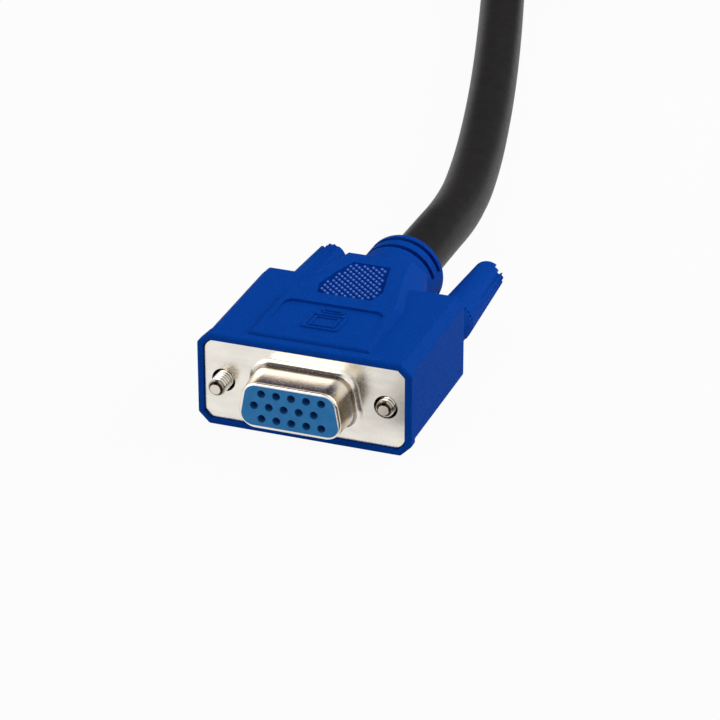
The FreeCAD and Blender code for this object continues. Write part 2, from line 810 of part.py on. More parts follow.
def knob(label, end, x, back, turn):
    body = new_body(f"{label}_turning")
    shank = "shank_diameter / 2"
    widest = "knob_diameter / 2"
    narrowest = "knob_end / 2"
    profile = [
        (shank, KNOB_FRONT),
        ("knob_nose / 2", KNOB_FRONT),
        (widest, f"{KNOB_FRONT} + knob_nose_length"),
        (narrowest, f"{KNOB_BACK} - knob_edge"),
        (f"{narrowest} - knob_edge", KNOB_BACK),
        ("0", KNOB_BACK),
        ("0", SHANK_BACK),
        (shank, SHANK_BACK),
    ]
    spin(body, "XY_Plane", [profile], "Y_Axis")
    slot = rectangle("knob_diameter", "driver_slot")
    slab(body, "XZ_Plane", [slot], f"{KNOB_BACK} - driver_depth", KNOB_BACK, cut=True)
    cutters = knob_cutters(f"{label}_cutters")
    for thing in (body, cutters):
        put(thing, end, x=x, y=back, turn=turn)
    keep(combine("Cut", label, body, cutters))


def thumbscrew(prefix, end, x, back, turn):
    screw(f"{prefix}_screw", end, x, back)
    knob(f"{prefix}_knob", end, x, back, turn)
    retaining_ring(f"{prefix}_retaining_ring", end, x, back)


def cord_path(label, points):
    """Straight runs joined by tangent arcs through a list of corners."""
    corners = [Vector(*point) for point in points]
    edges = []
    radii = []
    last = corners[0]
    for before, corner, after in zip(corners, corners[1:], corners[2:]):
        back = before - corner
        onward = after - corner
        length = RUN_SHARE * min(back.Length, onward.Length)
        back.normalize()
        onward.normalize()
        half_turn = (math.pi - back.getAngle(onward)) / 2
        radius = length / math.tan(half_turn)
        inward = (back + onward).normalize()
        middle = corner + inward * (radius / math.cos(half_turn) - radius)
        edges.append(Part.LineSegment(last, corner + back * length).toShape())
        last = corner + onward * length
        edges.append(Part.Arc(corner + back * length, middle, last).toShape())
        radii.append(round(radius, 1))
    edges.append(Part.LineSegment(last, corners[-1]).toShape())
    print(label, "radii", radii)
    return Part.Wire(edges)


def cord(label, points):
    radius = number("cable_diameter / 2")
    path = cord_path(label, points)
    start = Vector(*points[0])
    ring = Part.makeCircle(radius, start, Vector(*points[1]) - start)
    shape = path.makePipeShell([Part.Wire(ring)], True, False)
    expected = math.pi * radius**2 * path.Length
    print(label, "length", round(path.Length, 1), "volume", round(shape.Volume), "of", round(expected))
    if abs(shape.Volume / expected - 1) > VOLUME_TOLERANCE:
        raise RuntimeError(f"{label} is not a plain tube")
    keep(solid_feature(label, shape, Placement()))


def coil_place():
    """Middle of the coil on the floor, beside the last run of the lead, turned to the strap."""
    last = Vector(*LEAD[-1])
    heading = (last - Vector(*LEAD[-2])).normalize()
    outer_turn = number(f"coil_width / 2 + cable_diameter * {(COIL_TURNS_ACROSS - 1) / 2}")
    beside = last + Vector(heading.y, -heading.x, 0) * outer_turn
    spot = Vector(beside.x, beside.y, number(f"-{CREST}"))
    return Placement(spot, Rotation(Vector(0, 0, 1), number("tie_turn")))


def is_turned_edge(edge):
    return edge.BoundBox.ZLength < MATCH and isinstance(edge.Curve, Part.Circle)


def ring_block(label, outset, low, high, sweep="360"):
    """Ring of the coil's section, grown sideways by outset, its edges as round as a cable's side."""
    half = f"(cable_diameter * {COIL_TURNS_ACROSS} / 2 + {outset})"
    inner = f"(coil_width / 2 - {half})"
    outer = f"(coil_width / 2 + {half})"
    body = new_body(label)
    section = [(inner, low), (outer, low), (outer, high), (inner, high)]
    spin(body, "XZ_Plane", [section], "Z_Axis", sweep)
    round_edges(body, f"cable_diameter / 2 + {outset}", is_turned_edge)
    body.Placement = coil_place()
    return body


def coil(label, tie_label):
    """Closed ring of the wound length, and the strap that is let into its underside."""
    height = f"(cable_diameter * {COIL_LAYERS})"
    strap_top = f"({height} + tie_thickness)"
    strap = ring_block(f"{tie_label}_band", "tie_thickness", "0", strap_top, "tie_sweep")
    reach = f"(cable_diameter * {COIL_TURNS_ACROSS - 1} / 2)"
    near = f"(coil_width / 2 - {reach})"
    far = f"(coil_width / 2 + {reach})"
    flap_top = f"({strap_top} + tie_thickness)"
    flap = [(near, strap_top), (far, strap_top), (far, flap_top), (near, flap_top)]
    spin(strap, "XZ_Plane", [flap], "Z_Axis", "tie_sweep")
    room = ring_block(f"{tie_label}_room", "0", "tie_thickness", height)
    tie = combine("Cut", tie_label, strap, room)
    ring = ring_block(f"{label}_ring", "0", "0", height)
    keep(combine("Cut", label, ring, tie))
    keep(tie)


def plug_place():
    """The plug's own frame, from the last run of the cable's tail."""
    finish = Vector(*TAIL[-1])
    back = (Vector(*TAIL[-2]) - finish).normalize()
    return Placement(finish - back * number("jacket_start"), Rotation(Vector(0, 1, 0), back))


socket_end = Placement()
plug_end = plug_place()
plug_outset = "(mating_gap + shell_wall)"

socket_hood = hood("hood")
front_shell("front_shell", socket_end, "0", "skirt_draft")
rear_shell("rear_shell", socket_end)
nose = inside_outset("0", "skirt_draft")
front_insulator("front_insulator", socket_end, nose, "-skirt_depth", CONTACT_HOLE)
rear_insulator("rear_insulator", socket_end)
for count, (x, z) in enumerate(hole_places(), start=1):
    socket_contact(f"contact_{count:02d}", socket_end, x, z)
wire_bundle("wire_bundle", socket_end)
thumbscrew("left", socket_end, "-screw_spacing / 2", "0", "left_turn")
thumbscrew("right", socket_end, "screw_spacing / 2", "right_back", "right_turn")

cord("cable_lead", LEAD)
coil("cable_coil", "cable_tie")
cord("cable_tail", TAIL)

keep(solid_feature("plug_hood", socket_hood.Shape.copy(), plug_end))
front_shell("plug_front_shell", plug_end, plug_outset, "0")
rear_shell("plug_rear_shell", plug_end)
plug_nose = inside_outset(plug_outset, "0")
front_insulator("plug_insulator", plug_end, plug_nose, "plug_face_recess - skirt_depth", "pin_diameter")
rear_insulator("plug_rear_insulator", plug_end)
plug_pins("plug_pins", plug_end)
wire_bundle("plug_wire_bundle", plug_end)
thumbscrew("plug_left", plug_end, "-screw_spacing / 2", "0", "right_turn")
thumbscrew("plug_right", plug_end, "screw_spacing / 2", "0", "left_turn")

doc.recompute()
for thing in doc.Objects:
    if "Invalid" in thing.State or "Error" in thing.State:
        raise RuntimeError(f"{thing.Label} did not rebuild: {thing.State}")
os.makedirs("parts", exist_ok=True)
for node in nodes:
    if node.Shape.isNull() or not node.Shape.isValid():
        raise RuntimeError(f"{node.Label} has no valid shape")
    node.Shape.exportStep(f"parts/{node.Label}.step")
    print(node.Label, len(node.Shape.Solids), round(node.Shape.Volume, 2))
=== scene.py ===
import math

import bmesh
import bpy
from mathutils import Matrix, Vector


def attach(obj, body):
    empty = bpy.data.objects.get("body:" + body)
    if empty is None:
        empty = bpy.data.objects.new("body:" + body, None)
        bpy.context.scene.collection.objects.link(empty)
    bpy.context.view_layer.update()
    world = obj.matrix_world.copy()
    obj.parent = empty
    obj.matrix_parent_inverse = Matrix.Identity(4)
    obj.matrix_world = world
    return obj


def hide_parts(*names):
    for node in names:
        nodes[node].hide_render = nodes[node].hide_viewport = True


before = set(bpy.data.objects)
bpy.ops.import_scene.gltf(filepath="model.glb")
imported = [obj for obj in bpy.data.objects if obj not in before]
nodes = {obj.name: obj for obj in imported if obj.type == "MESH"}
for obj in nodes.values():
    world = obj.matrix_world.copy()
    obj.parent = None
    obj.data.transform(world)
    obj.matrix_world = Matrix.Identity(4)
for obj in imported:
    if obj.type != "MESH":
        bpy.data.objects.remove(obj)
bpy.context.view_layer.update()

scene = bpy.context.scene

# Lengths in metres: a millimetre, and the distance within which points merge
MM = 0.001
MERGE = 1e-7

# Camera
CAMERA_PLACE = Vector((0.15754, -0.40525, 0.22514))
CAMERA_RIGHT = Vector((0.938684, 0.344779, -0.000502))
CAMERA_FORWARD = Vector((-0.307916, 0.837666, -0.451114))
LENS = 170.0
SENSOR = 36.0
CLIP = (0.01, 20)

# Floor: level, half its side, own shade, how white it looks, and its dim corner in mirrored light
FLOOR = -8.1 * MM
FLOOR_HALF = 6
FLOOR_SHADE = 0.55
FLOOR_SEEN_WHITE = 0.95
FLOOR_MIRRORED_WHITE = 0.92
FLOOR_DIM_FROM = Vector((2, -6, 0)) * MM
FLOOR_DIM_TO = Vector((14, -14, 0)) * MM
FLOOR_DIM_SRGB = (70, 56, 42)

# Studio: its level, and the sides that are dim in mirrored light, from their edge to their core
WORLD_LEVEL = 0.3
DIM_SIDES = (
    (Vector((-0.31, -0.43, 0.85)), 0.84, 0.96),
    (Vector((0.05, 0.85, 0.2)), 0.55, 0.75),
)
DIM_SRGB = (80, 66, 52)

# Lamps: name, place, target, length of a side, watts, and whether metal mirrors them
LAMPS = (
    ("key_right", (0.48, 0.24, 0.5), (0, 0.01, 0), 0.65, 3.15, True),
    ("top", (-0.1, 0.1, 0.8), (0, 0.03, 0), 0.7, 1.4, False),
    ("front_left", (-0.5, -0.65, 0.35), (0, 0, 0), 0.65, 2.6, True),
    ("back_right", (0.27, 0.55, 0.19), (0, 0.03, 0), 0.2, 1.0, False),
)

# Cable: the route of the source in millimetres, on both sides of its coil
CABLE = 8.2
LEAD = [
    (0.0, 34.0, 0.0),
    (0.0, 54.0, 0.0),
    (-1.5, 75.0, -2.7),
    (-5.6, 96.0, -4.0),
    (-10.8, 118.0, -4.0),
    (-16.5, 139.5, -4.0),
    (-22.6, 161.0, -4.0),
    (-29.0, 182.5, -4.0),
    (-35.15, 202.5, -4.0),
    (-41.45, 222.5, -4.0),
    (-47.55, 241.5, -4.0),
]
TAIL = [
    (-36.7, 293.4, 4.2),
    (-20.7, 305.0, 4.8),
    (-1.4, 308.7, 8.0),
    (17.65, 303.8, 12.5),
    (32.8, 291.3, 15.6),
    (41.2, 273.5, 16.4),
    (41.2, 253.9, 16.4),
]
SOCKET_PLACE = Vector((0, 0, 0))
PLUG_PLACE = Vector((41.2, 219.9, 16.4))

# Coil: three rings on the floor and three on top, with the start and length of each step in turns
COIL_MIDDLE = (1.77, 257.34)
COIL_START = 197.8
COIL_TURNS = 5.169
COIL_POINTS = 24
COIL_OUTER = 51.8
COIL_RINGS = 3
STEP_INWARDS = (0.7, 0.3)
STEP_OUTWARDS = (0.14, 0.36)
STEP_UP = (0.5, 0.3)

# Strap round the coil: its place and size, and the cable's rise over it with the angles where it fades
TIE_TURN = 160.0
TIE_WIDTH = 11.0
TIE_THICKNESS = 0.8
TIE_SOFT_SHARE = 0.3
TIE_STEPS = 120
TIE_SQUEEZE = 0.4
TIE_FADE = (8, 30)
FLAP_ANGLES = (86, 88, 89.9, 90.1, 92, 94)

# Thumbscrews: their distance, how far the right one is drawn back, and the thread by share of its pitch
SCREW_SPACING = 24.99
RIGHT_BACK = 2.2
SCREW_REACH = 3.3
THREAD_RADIUS = 1.36
THREAD_ROOT = 1.0
THREAD_PITCH = 0.635
THREAD_LENGTH = 8.4
THREAD_PROFILE = (
    (0.0, THREAD_ROOT),
    (0.14, THREAD_ROOT),
    (0.46, THREAD_RADIUS),
    (0.66, THREAD_RADIUS),
)
TIP_CHAMFER = 0.6
TIP_LAND = 0.03
SHANK_RADIUS = 1.25
SHANK_BACK = 38.9
GROOVE = (5.9, 6.6)
GROOVE_RADIUS = 0.9
ROUND_STEPS = 40

# Grip patches of the hood: Y and half width of their corners, and the pyramids' heights
GRIP_CORNERS = ((16.4, 4.3), (19.5, 5.0), (28.6, 3.0))
GRIP_INSET = 0.1
STUD_FOOT = 7.65
STUD_TOP = 8.07

# Drawn skirt, along Y from its root to its rim
SKIRT = (-0.4, -5.75)

# Monitor sign on the hood's panel: corners, radius and ridge width of its case, screen and foot
PANEL_FLOOR = 7.72
SIGN_RISE = 0.24
SIGN_EDGE = 0.1
SIGN_BURY = 0.1
SIGN_OUTLINES = (
    (((-2.75, 5.6), (3.0, 5.6), (3.0, 10.55), (-2.75, 10.55)), 0.35, 0.55),
    (((-1.85, 6.5), (2.1, 6.5), (2.1, 9.65), (-1.85, 9.65)), 0.25, 0.4),
    (((-1.1, 10.85), (1.6, 10.85), (2.25, 12.0), (-1.9, 12.0)), 0.2, 0.35),
)
CORNER_STEPS = 5

# Angles over which an edge stays sharp
SCREW_SHARP = 35
SIGN_SHARP = 30
STRAP_SHARP = 50


def srgb(red, green, blue):
    """Linear colour from 0 to 255 values."""
    values = []
    for level in (red, green, blue):
        share = level / 255
        values.append(share / 12.92 if share <= 0.04045 else ((share + 0.055) / 1.055) ** 2.4)
    return (*values, 1.0)


def grey(level):
    return (level, level, level, 1.0)


def add_object(name, data, body, material, place=Vector((0, 0, 0))):
    """Piece at a place in mm that rides on a body."""
    thing = bpy.data.objects.new(name, data)
    thing.location = place * MM
    scene.collection.objects.link(thing)
    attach(thing, body)
    data.materials.append(material)
    return thing


class Tree:
    """Small helper round the nodes of a material or a world."""

    def __init__(self, owner):
        self.owner = owner
        self.tree = owner.node_tree
        self.shader = self.tree.nodes.get("Principled BSDF")

    @classmethod
    def new(cls, name):
        material = bpy.data.materials.new(name)
        material.use_nodes = True
        return cls(material)

    def node(self, kind, **values):
        made = self.tree.nodes.new(kind)
        for key, value in values.items():
            setattr(made, key, value)
        return made

    def link(self, source, target):
        self.tree.links.new(source, target)

    def set(self, **values):
        """Set the shader's own sockets."""
        for key, value in values.items():
            self.shader.inputs[key.replace("_", " ")].default_value = value

    def feed(self, source, socket):
        """Link a source to one of the shader's sockets."""
        self.link(source, self.shader.inputs[socket])

    def coordinates(self, scale=(1, 1, 1)):
        place = self.node("ShaderNodeTexCoord")
        mapping = self.node("ShaderNodeMapping")
        mapping.inputs["Scale"].default_value = scale
        self.link(place.outputs["Object"], mapping.inputs["Vector"])
        return mapping.outputs["Vector"]

    def noise(self, scale, detail=2.0, stretch=(1, 1, 1)):
        made = self.node("ShaderNodeTexNoise")
        made.inputs["Scale"].default_value = scale
        made.inputs["Detail"].default_value = detail
        self.link(self.coordinates(stretch), made.inputs["Vector"])
        return made.outputs["Fac"]

    def split(self, source):
        """X, Y and Z of a vector."""
        made = self.node("ShaderNodeSeparateXYZ")
        self.link(source, made.inputs[0])
        return made.outputs

    def maths(self, operation, *values):
        """Result of a sum on sockets and plain numbers."""
        made = self.node("ShaderNodeMath", operation=operation)
        for socket, value in zip(made.inputs, values):
            if isinstance(value, (int, float)):
                socket.default_value = value
            else:
                self.link(value, socket)
        return made.outputs[0]

    def spread(self, source, first, last, soft=False):
        """Share from 0 to 1 of the way between two values."""
        made = self.node("ShaderNodeMapRange", interpolation_type="SMOOTHSTEP" if soft else "LINEAR")
        made.inputs["From Min"].default_value = first
        made.inputs["From Max"].default_value = last
        self.link(source, made.inputs["Value"])
        return made.outputs["Result"]

    def ramp(self, source, stops):
        made = self.node("ShaderNodeValToRGB")
        elements = made.color_ramp.elements
        while len(elements) < len(stops):
            elements.new(0.5)
        for element, (place, colour) in zip(elements, stops):
            element.position = place
            element.color = colour
        self.link(source, made.inputs["Fac"])
        return made.outputs["Color"]

    def mix(self, factor, first, second, blend_type="MIX"):
        """Blend of two colours."""
        made = self.node("ShaderNodeMix", data_type="RGBA", blend_type=blend_type)
        if isinstance(factor, float):
            made.inputs["Factor"].default_value = factor
        else:
            self.link(factor, made.inputs["Factor"])
        self.link(first, made.inputs["A"])
        self.link(second, made.inputs["B"])
        return made.outputs["Result"]

    def mix_shader(self, factor, first, second):
        made = self.node("ShaderNodeMixShader")
        self.link(factor, made.inputs["Fac"])
        self.link(first, made.inputs[1])
        self.link(second, made.inputs[2])
        return made.outputs["Shader"]

    def bump(self, heights):
        """Chain of bumps from (height socket, depth in metres) pairs."""
        normal = None
        for source, depth in heights:
            made = self.node("ShaderNodeBump")
            made.inputs["Strength"].default_value = 1.0
            made.inputs["Distance"].default_value = depth
            self.link(source, made.inputs["Height"])
            if normal:
                self.link(normal, made.inputs["Normal"])
            normal = made.outputs["Normal"]
        self.feed(normal, "Normal")


def grip_line(near, far):
    """Slope along Y and foot of a grip patch's edge, as a half width just inside it."""
    slope = (far[1] - near[1]) / (far[0] - near[0])
    return slope, near[1] - slope * near[0] - GRIP_INSET


def grip_masks(tree, end):
    """Where the grip patches are, as 0 or 1, and the share from 0 to 1 up their pyramids."""
    shift = tree.node("ShaderNodeVectorMath", operation="SUBTRACT")
    shift.inputs[1].default_value = end * MM
    tree.link(tree.coordinates(), shift.inputs[0])
    place = tree.split(shift.outputs[0])
    wide = tree.maths("ABSOLUTE", place["X"])
    high = tree.maths("ABSOLUTE", place["Z"])
    halves = []
    for near, far in zip(GRIP_CORNERS, GRIP_CORNERS[1:]):
        slope, foot = grip_line(near, far)
        halves.append(tree.maths("ADD", tree.maths("MULTIPLY", place["Y"], slope), foot * MM))
    inside = tree.maths("GREATER_THAN", tree.maths("MINIMUM", *halves), wide)
    behind = tree.maths("GREATER_THAN", place["Y"], (GRIP_CORNERS[0][0] + GRIP_INSET) * MM)
    before = tree.maths("LESS_THAN", place["Y"], (GRIP_CORNERS[-1][0] - GRIP_INSET) * MM)
    region = tree.maths("MULTIPLY", inside, tree.maths("MULTIPLY", behind, before))
    return region, tree.spread(high, STUD_FOOT * MM, STUD_TOP * MM)


def hood_material(name, end):
    """Blue plastic with a fine grain; painted shade at the grip pyramids' feet, painted highlights on
    their tips.
    """
    tree = Tree.new(name)
    grain = tree.noise(4000, 3.0)
    cloud = tree.noise(240, 2.0)
    colour = tree.ramp(grain, [(0.3, srgb(1, 56, 143)), (0.7, srgb(7, 69, 164))])
    region, rise = grip_masks(tree, end)
    # Painted light on the grip: darker at the pyramids' feet, a pale painted glint towards their tips
    painted_studs = tree.ramp(
        rise,
        [(0.1, srgb(0, 46, 130)), (0.5, srgb(4, 64, 156)), (0.95, srgb(112, 152, 244))],
    )
    tree.feed(tree.mix(region, colour, painted_studs), "Base Color")
    tree.feed(tree.ramp(grain, [(0.25, grey(0.5)), (0.75, grey(0.68))]), "Roughness")
    tree.set(Specular_IOR_Level=0.015)
    tree.bump([(grain, 0.00007), (cloud, 0.00002)])
    return tree.owner


def insulator_material():
    tree = Tree.new("insulator_plastic")
    cloud = tree.noise(700, 3.0)
    grain = tree.noise(6500, 2.0)
    tree.feed(tree.ramp(cloud, [(0.3, srgb(38, 118, 182)), (0.75, srgb(52, 132, 194))]), "Base Color")
    tree.feed(tree.ramp(grain, [(0.3, grey(0.34)), (0.7, grey(0.5))]), "Roughness")
    tree.set(Specular_IOR_Level=0.2)
    tree.bump([(grain, 0.00002), (cloud, 0.00003)])
    return tree.owner


def nickel_material(name, base, rough_low, rough_high):
    tree = Tree.new(name)
    tree.set(Metallic=1.0)
    smear = tree.noise(260, 1.5, (1.0, 1.0, 2.2))
    grain = tree.noise(2600, 3.0)
    dull = [level - 12 for level in base]
    tree.feed(tree.ramp(smear, [(0.3, srgb(*dull)), (0.65, srgb(*base))]), "Base Color")
    tree.feed(tree.ramp(grain, [(0.3, grey(rough_low)), (0.7, grey(rough_high))]), "Roughness")
    tree.bump([(smear, 0.00003), (grain, 0.000002)])
    return tree.owner


def shell_material(name, end):
    """Connector shell's nickel, with painted shade for dark reflections at the skirt's root and near
    its rim.
    """
    tree = Tree(nickel_material(name, (241, 236, 227), 0.2, 0.28))
    plain = tree.shader.inputs["Base Color"].links[0].from_socket
    place = tree.split(tree.coordinates())
    root, rim = [(end.y + level) * MM for level in SKIRT]
    # Painted shade: darker bands at the skirt's root and near its rim stand in for dark reflections
    painted_shade = tree.ramp(
        tree.spread(place["Y"], root, rim),
        [
            (0.0, grey(1.0)),
            (0.06, srgb(186, 172, 152)),
            (0.14, srgb(186, 172, 152)),
            (0.24, grey(1.0)),
            (0.6, srgb(246, 239, 227)),
            (0.86, srgb(212, 197, 175)),
            (0.96, srgb(212, 197, 175)),
            (1.0, grey(1.0)),
        ],
    )
    tree.feed(tree.mix(1.0, plain, painted_shade, "MULTIPLY"), "Base Color")
    return tree.owner


def thread_material(name, base):
    """Nickel of a screw about its own Y axis: painted shade in the thread's roots, plain on crests and
    tip.
    """
    tree = Tree.new(name)
    tree.set(Metallic=1.0)
    place = tree.coordinates()
    across = tree.node("ShaderNodeVectorMath", operation="MULTIPLY")
    across.inputs[1].default_value = (1, 0, 1)
    tree.link(place, across.inputs[0])
    radius = tree.node("ShaderNodeVectorMath", operation="LENGTH")
    tree.link(across.outputs["Vector"], radius.inputs[0])
    rise = tree.spread(radius.outputs["Value"], THREAD_ROOT * MM, THREAD_RADIUS * MM)
    tip = tree.maths("LESS_THAN", tree.split(place)["Y"], (TIP_LAND - SCREW_REACH) * MM)
    unshaded = tree.maths("MAXIMUM", rise, tip)
    # Painted shade: near-black brown in the thread's roots, full nickel on the crests and the tip
    tree.feed(tree.ramp(unshaded, [(0.1, srgb(46, 39, 32)), (0.9, srgb(*base))]), "Base Color")
    grain = tree.noise(2600, 3.0)
    tree.feed(tree.ramp(grain, [(0.3, grey(0.16)), (0.7, grey(0.26))]), "Roughness")
    tree.bump([(grain, 0.000002)])
    return tree.owner


def gold_material():
    tree = Tree.new("contact_gold")
    tree.set(Metallic=1.0)
    smear = tree.noise(900, 2.0)
    tree.feed(tree.ramp(smear, [(0.3, srgb(168, 126, 60)), (0.7, srgb(206, 164, 86))]), "Base Color")
    tree.feed(tree.ramp(smear, [(0.3, grey(0.25)), (0.7, grey(0.38))]), "Roughness")
    return tree.owner


def jacket_material():
    tree = Tree.new("jacket_vinyl")
    grain = tree.noise(2600, 3.0)
    drawn = tree.noise(420, 3.0)
    tree.feed(tree.ramp(drawn, [(0.3, srgb(34, 34, 35)), (0.7, srgb(40, 39, 40))]), "Base Color")
    tree.feed(tree.ramp(grain, [(0.3, grey(0.3)), (0.7, grey(0.42))]), "Roughness")
    tree.set(Specular_IOR_Level=0.04)
    tree.bump([(grain, 0.000008), (drawn, 0.00004)])
    return tree.owner


def strap_material():
    """Webbing with ribs along the strap, on a fine fuzz."""
    tree = Tree.new("strap_weave")
    lean = tree.node("ShaderNodeMapping")
    lean.inputs["Rotation"].default_value = (0, 0, -math.radians(TIE_TURN))
    tree.link(tree.coordinates(), lean.inputs["Vector"])
    wave = tree.node("ShaderNodeTexWave", bands_direction="Y")
    wave.inputs["Scale"].default_value = 260
    wave.inputs["Distortion"].default_value = 0.6
    tree.link(lean.outputs["Vector"], wave.inputs["Vector"])
    ribs = wave.outputs["Fac"]
    fuzz = tree.noise(3800, 4.0)
    tree.feed(tree.ramp(ribs, [(0.15, srgb(24, 24, 26)), (0.85, srgb(50, 50, 53))]), "Base Color")
    tree.set(Roughness=0.85, Specular_IOR_Level=0.1)
    tree.bump([(ribs, 0.00016), (fuzz, 0.00012)])
    return tree.owner


def core_material():
    tree = Tree.new("core_grey")
    cloud = tree.noise(500, 2.0)
    tree.feed(tree.ramp(cloud, [(0.3, grey(0.1)), (0.7, grey(0.14))]), "Base Color")
    tree.set(Roughness=0.7)
    return tree.owner


HOOD = hood_material("hood_plastic", SOCKET_PLACE)
PLUG_HOOD = hood_material("plug_hood_plastic", PLUG_PLACE)
INSULATOR = insulator_material()
SHELL = shell_material("shell_nickel", SOCKET_PLACE)
PLUG_SHELL = shell_material("plug_shell_nickel", PLUG_PLACE)
SCREW = nickel_material("screw_nickel", (226, 221, 211), 0.16, 0.26)
THREAD = thread_material("thread_nickel", (220, 212, 200))
GOLD = gold_material()
JACKET = jacket_material()
STRAP = strap_material()
CORE = core_material()


def dress_nodes():
    """Give every carried-over solid its material."""
    choices = [
        ("plug_hood", PLUG_HOOD),
        ("hood", HOOD),
        ("knob", HOOD),
        ("pins", GOLD),
        ("contact", GOLD),
        ("insulator", INSULATOR),
        ("plug_front_shell", PLUG_SHELL),
        ("shell", SHELL),
        ("screw", SCREW),
        ("ring", SCREW),
        ("wire", CORE),
        ("tie", STRAP),
        ("cable", JACKET),
    ]
    for name, thing in nodes.items():
        material = next(finish for word, finish in choices if word in name)
        thing.data.materials.clear()
        thing.data.materials.append(material)


def eased(value, start, length):
    """Soft step from 0 to 1 that starts at a value and takes a length."""
    share = min(max((value - start) / length, 0.0), 1.0)
    return share * share * (3 - 2 * share)


def coil_place(turns):
    """Distance from the coil's middle and height of the cable after so many turns, in mm."""
    turn = int(turns)
    share = turns - turn
    innermost = COIL_RINGS - 1
    outermost = 2 * COIL_RINGS - 1
    level = 1.0
    if turn < innermost:
        ring = turn + eased(share, *STEP_INWARDS)
        level = 0.0
    elif turn == innermost:
        ring = innermost
        level = eased(share, *STEP_UP)
    elif turn < outermost:
        ring = outermost - turn - eased(share, *STEP_OUTWARDS)
    else:
        ring = 0
    off_tie = (COIL_START - 360 * turns - TIE_TURN + 180) % 360 - 180
    lift = TIE_SQUEEZE * (1 - level) * (1 - eased(abs(off_tie), *TIE_FADE))
    return COIL_OUTER - CABLE * ring, CABLE * (0.5 + level) + lift


def coil_points():
    """Rings inwards on the floor, then outwards on top of them, up to where the tail starts."""
    shrink = math.cos(math.pi / COIL_POINTS)
    points = []
    for step in range(1, int(COIL_TURNS * COIL_POINTS)):
        turns = step / COIL_POINTS
        radius, height = coil_place(turns)
        angle = math.radians(COIL_START - 360 * turns)
        x = COIL_MIDDLE[0] + radius / shrink * math.cos(angle)
        y = COIL_MIDDLE[1] + radius / shrink * math.sin(angle)
        points.append((x, y, FLOOR / MM + height))
    return points


def make_cable():
    curve = bpy.data.curves.new("cable", "CURVE")
    curve.dimensions = "3D"
    curve.bevel_depth = 1.0
    curve.bevel_resolution = 10
    curve.resolution_u = 8
    curve.use_fill_caps = True
    spline = curve.splines.new("NURBS")
    points = LEAD + coil_points() + TAIL
    spline.points.add(len(points) - 1)
    for point, place in zip(spline.points, points):
        point.co = (*[value * MM for value in place], 1.0)
        point.radius = CABLE / 2 * MM
    spline.order_u = 3
    spline.use_endpoint_u = True
    cable = add_object("cable_jacket", curve, "cable", JACKET)
    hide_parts("cable_lead", "cable_coil", "cable_tail")


def mesh_from(name, points, faces, sharp):
    """Smooth mesh in metres from points in millimetres, its faces turned outwards."""
    mesh = bpy.data.meshes.new(name)
    mesh.from_pydata([Vector(point) * MM for point in points], [], faces)
    shape = bmesh.new()
    shape.from_mesh(mesh)
    bmesh.ops.remove_doubles(shape, verts=shape.verts, dist=MERGE)
    bmesh.ops.dissolve_degenerate(shape, edges=shape.edges, dist=MERGE)
    bmesh.ops.recalc_face_normals(shape, faces=shape.faces)
    shape.to_mesh(mesh)
    shape.free()
    mesh.shade_smooth()
    mesh.set_sharp_from_angle(angle=math.radians(sharp))
    return mesh


def rings_to_faces(rings, count, closed_ends):
    """Quads between rings of count points each, and a face on both ends if they are closed."""
    faces = []
    for ring in range(rings - 1):
        for step in range(count):
            after = (step + 1) % count
            low = ring * count
            high = low + count
            faces.append((low + step, low + after, high + after, high + step))
    if closed_ends:
        faces.append(tuple(range(count)))
        faces.append(tuple((rings - 1) * count + step for step in range(count)))
    return faces


def moved(faces, first):
    """Faces whose points come after so many others."""
    return [tuple(first + corner for corner in face) for face in faces]


def ring_spot(radius, y, step):
    """Point of a ring about the Y axis."""
    angle = 2 * math.pi * step / ROUND_STEPS
    return (radius * math.cos(angle), y, radius * math.sin(angle))


def turned(profile):
    """Points and faces of a profile of (y, radius) turned about the Y axis, closed at its last ring."""
    points = [ring_spot(radius, y, step) for y, radius in profile for step in range(ROUND_STEPS)]
    faces = rings_to_faces(len(profile), ROUND_STEPS, False)
    faces.append(tuple(range(len(points) - ROUND_STEPS, len(points))))
    return points, faces


def threaded():
    """Points and faces of the thread about the Y axis, one helical row for every corner of its profile.

    A turn before the tip and those past the back are pressed flat there and merge with the ring that
    closes the tip and with the shank's first ring.
    """
    tip = -SCREW_REACH
    back = tip + THREAD_LENGTH
    turns = int(THREAD_LENGTH / THREAD_PITCH) + 3
    rows = [(turn + share - 1, radius) for turn in range(turns) for share, radius in THREAD_PROFILE]
    points = []
    for place, radius in rows:
        for step in range(ROUND_STEPS):
            y = tip + THREAD_PITCH * (place + step / ROUND_STEPS)
            y = min(max(y, tip), back)
            reach = min(radius, THREAD_RADIUS - TIP_CHAMFER + (y - tip))
            reach = min(max(reach, SHANK_RADIUS - (back - y)), SHANK_RADIUS + (back - y))
            points.append(ring_spot(reach, y, step))
    faces = []
    per_turn = len(THREAD_PROFILE)
    for row in range(len(rows) - 1):
        for step in range(ROUND_STEPS):
            here = row * ROUND_STEPS + step
            above = here + ROUND_STEPS
            if step + 1 < ROUND_STEPS:
                faces.append((here, here + 1, above + 1, above))
            elif row + per_turn + 1 < len(rows):
                wrapped = (row + per_turn) * ROUND_STEPS
                faces.append((here, wrapped, wrapped + ROUND_STEPS, above))
    faces.append(tuple(range(ROUND_STEPS)))
    return points, faces


def make_screw(prefix, end, x, back):
    points, faces = threaded()
    shank_points, shank_faces = turned([
        (THREAD_LENGTH - SCREW_REACH, SHANK_RADIUS),
        (GROOVE[0], SHANK_RADIUS),
        (GROOVE[0], GROOVE_RADIUS),
        (GROOVE[1], GROOVE_RADIUS),
        (GROOVE[1], SHANK_RADIUS),
        (SHANK_BACK, SHANK_RADIUS),
    ])
    faces += moved(shank_faces, len(points))
    mesh = mesh_from(f"{prefix}_threaded", points + shank_points, faces, SCREW_SHARP)
    body = f"{prefix}_thumbscrew"
    place = end + Vector((x, back, 0))
    screw = add_object(f"{prefix}_threaded", mesh, body, THREAD, place)
    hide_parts(f"{prefix}_screw")
    return screw


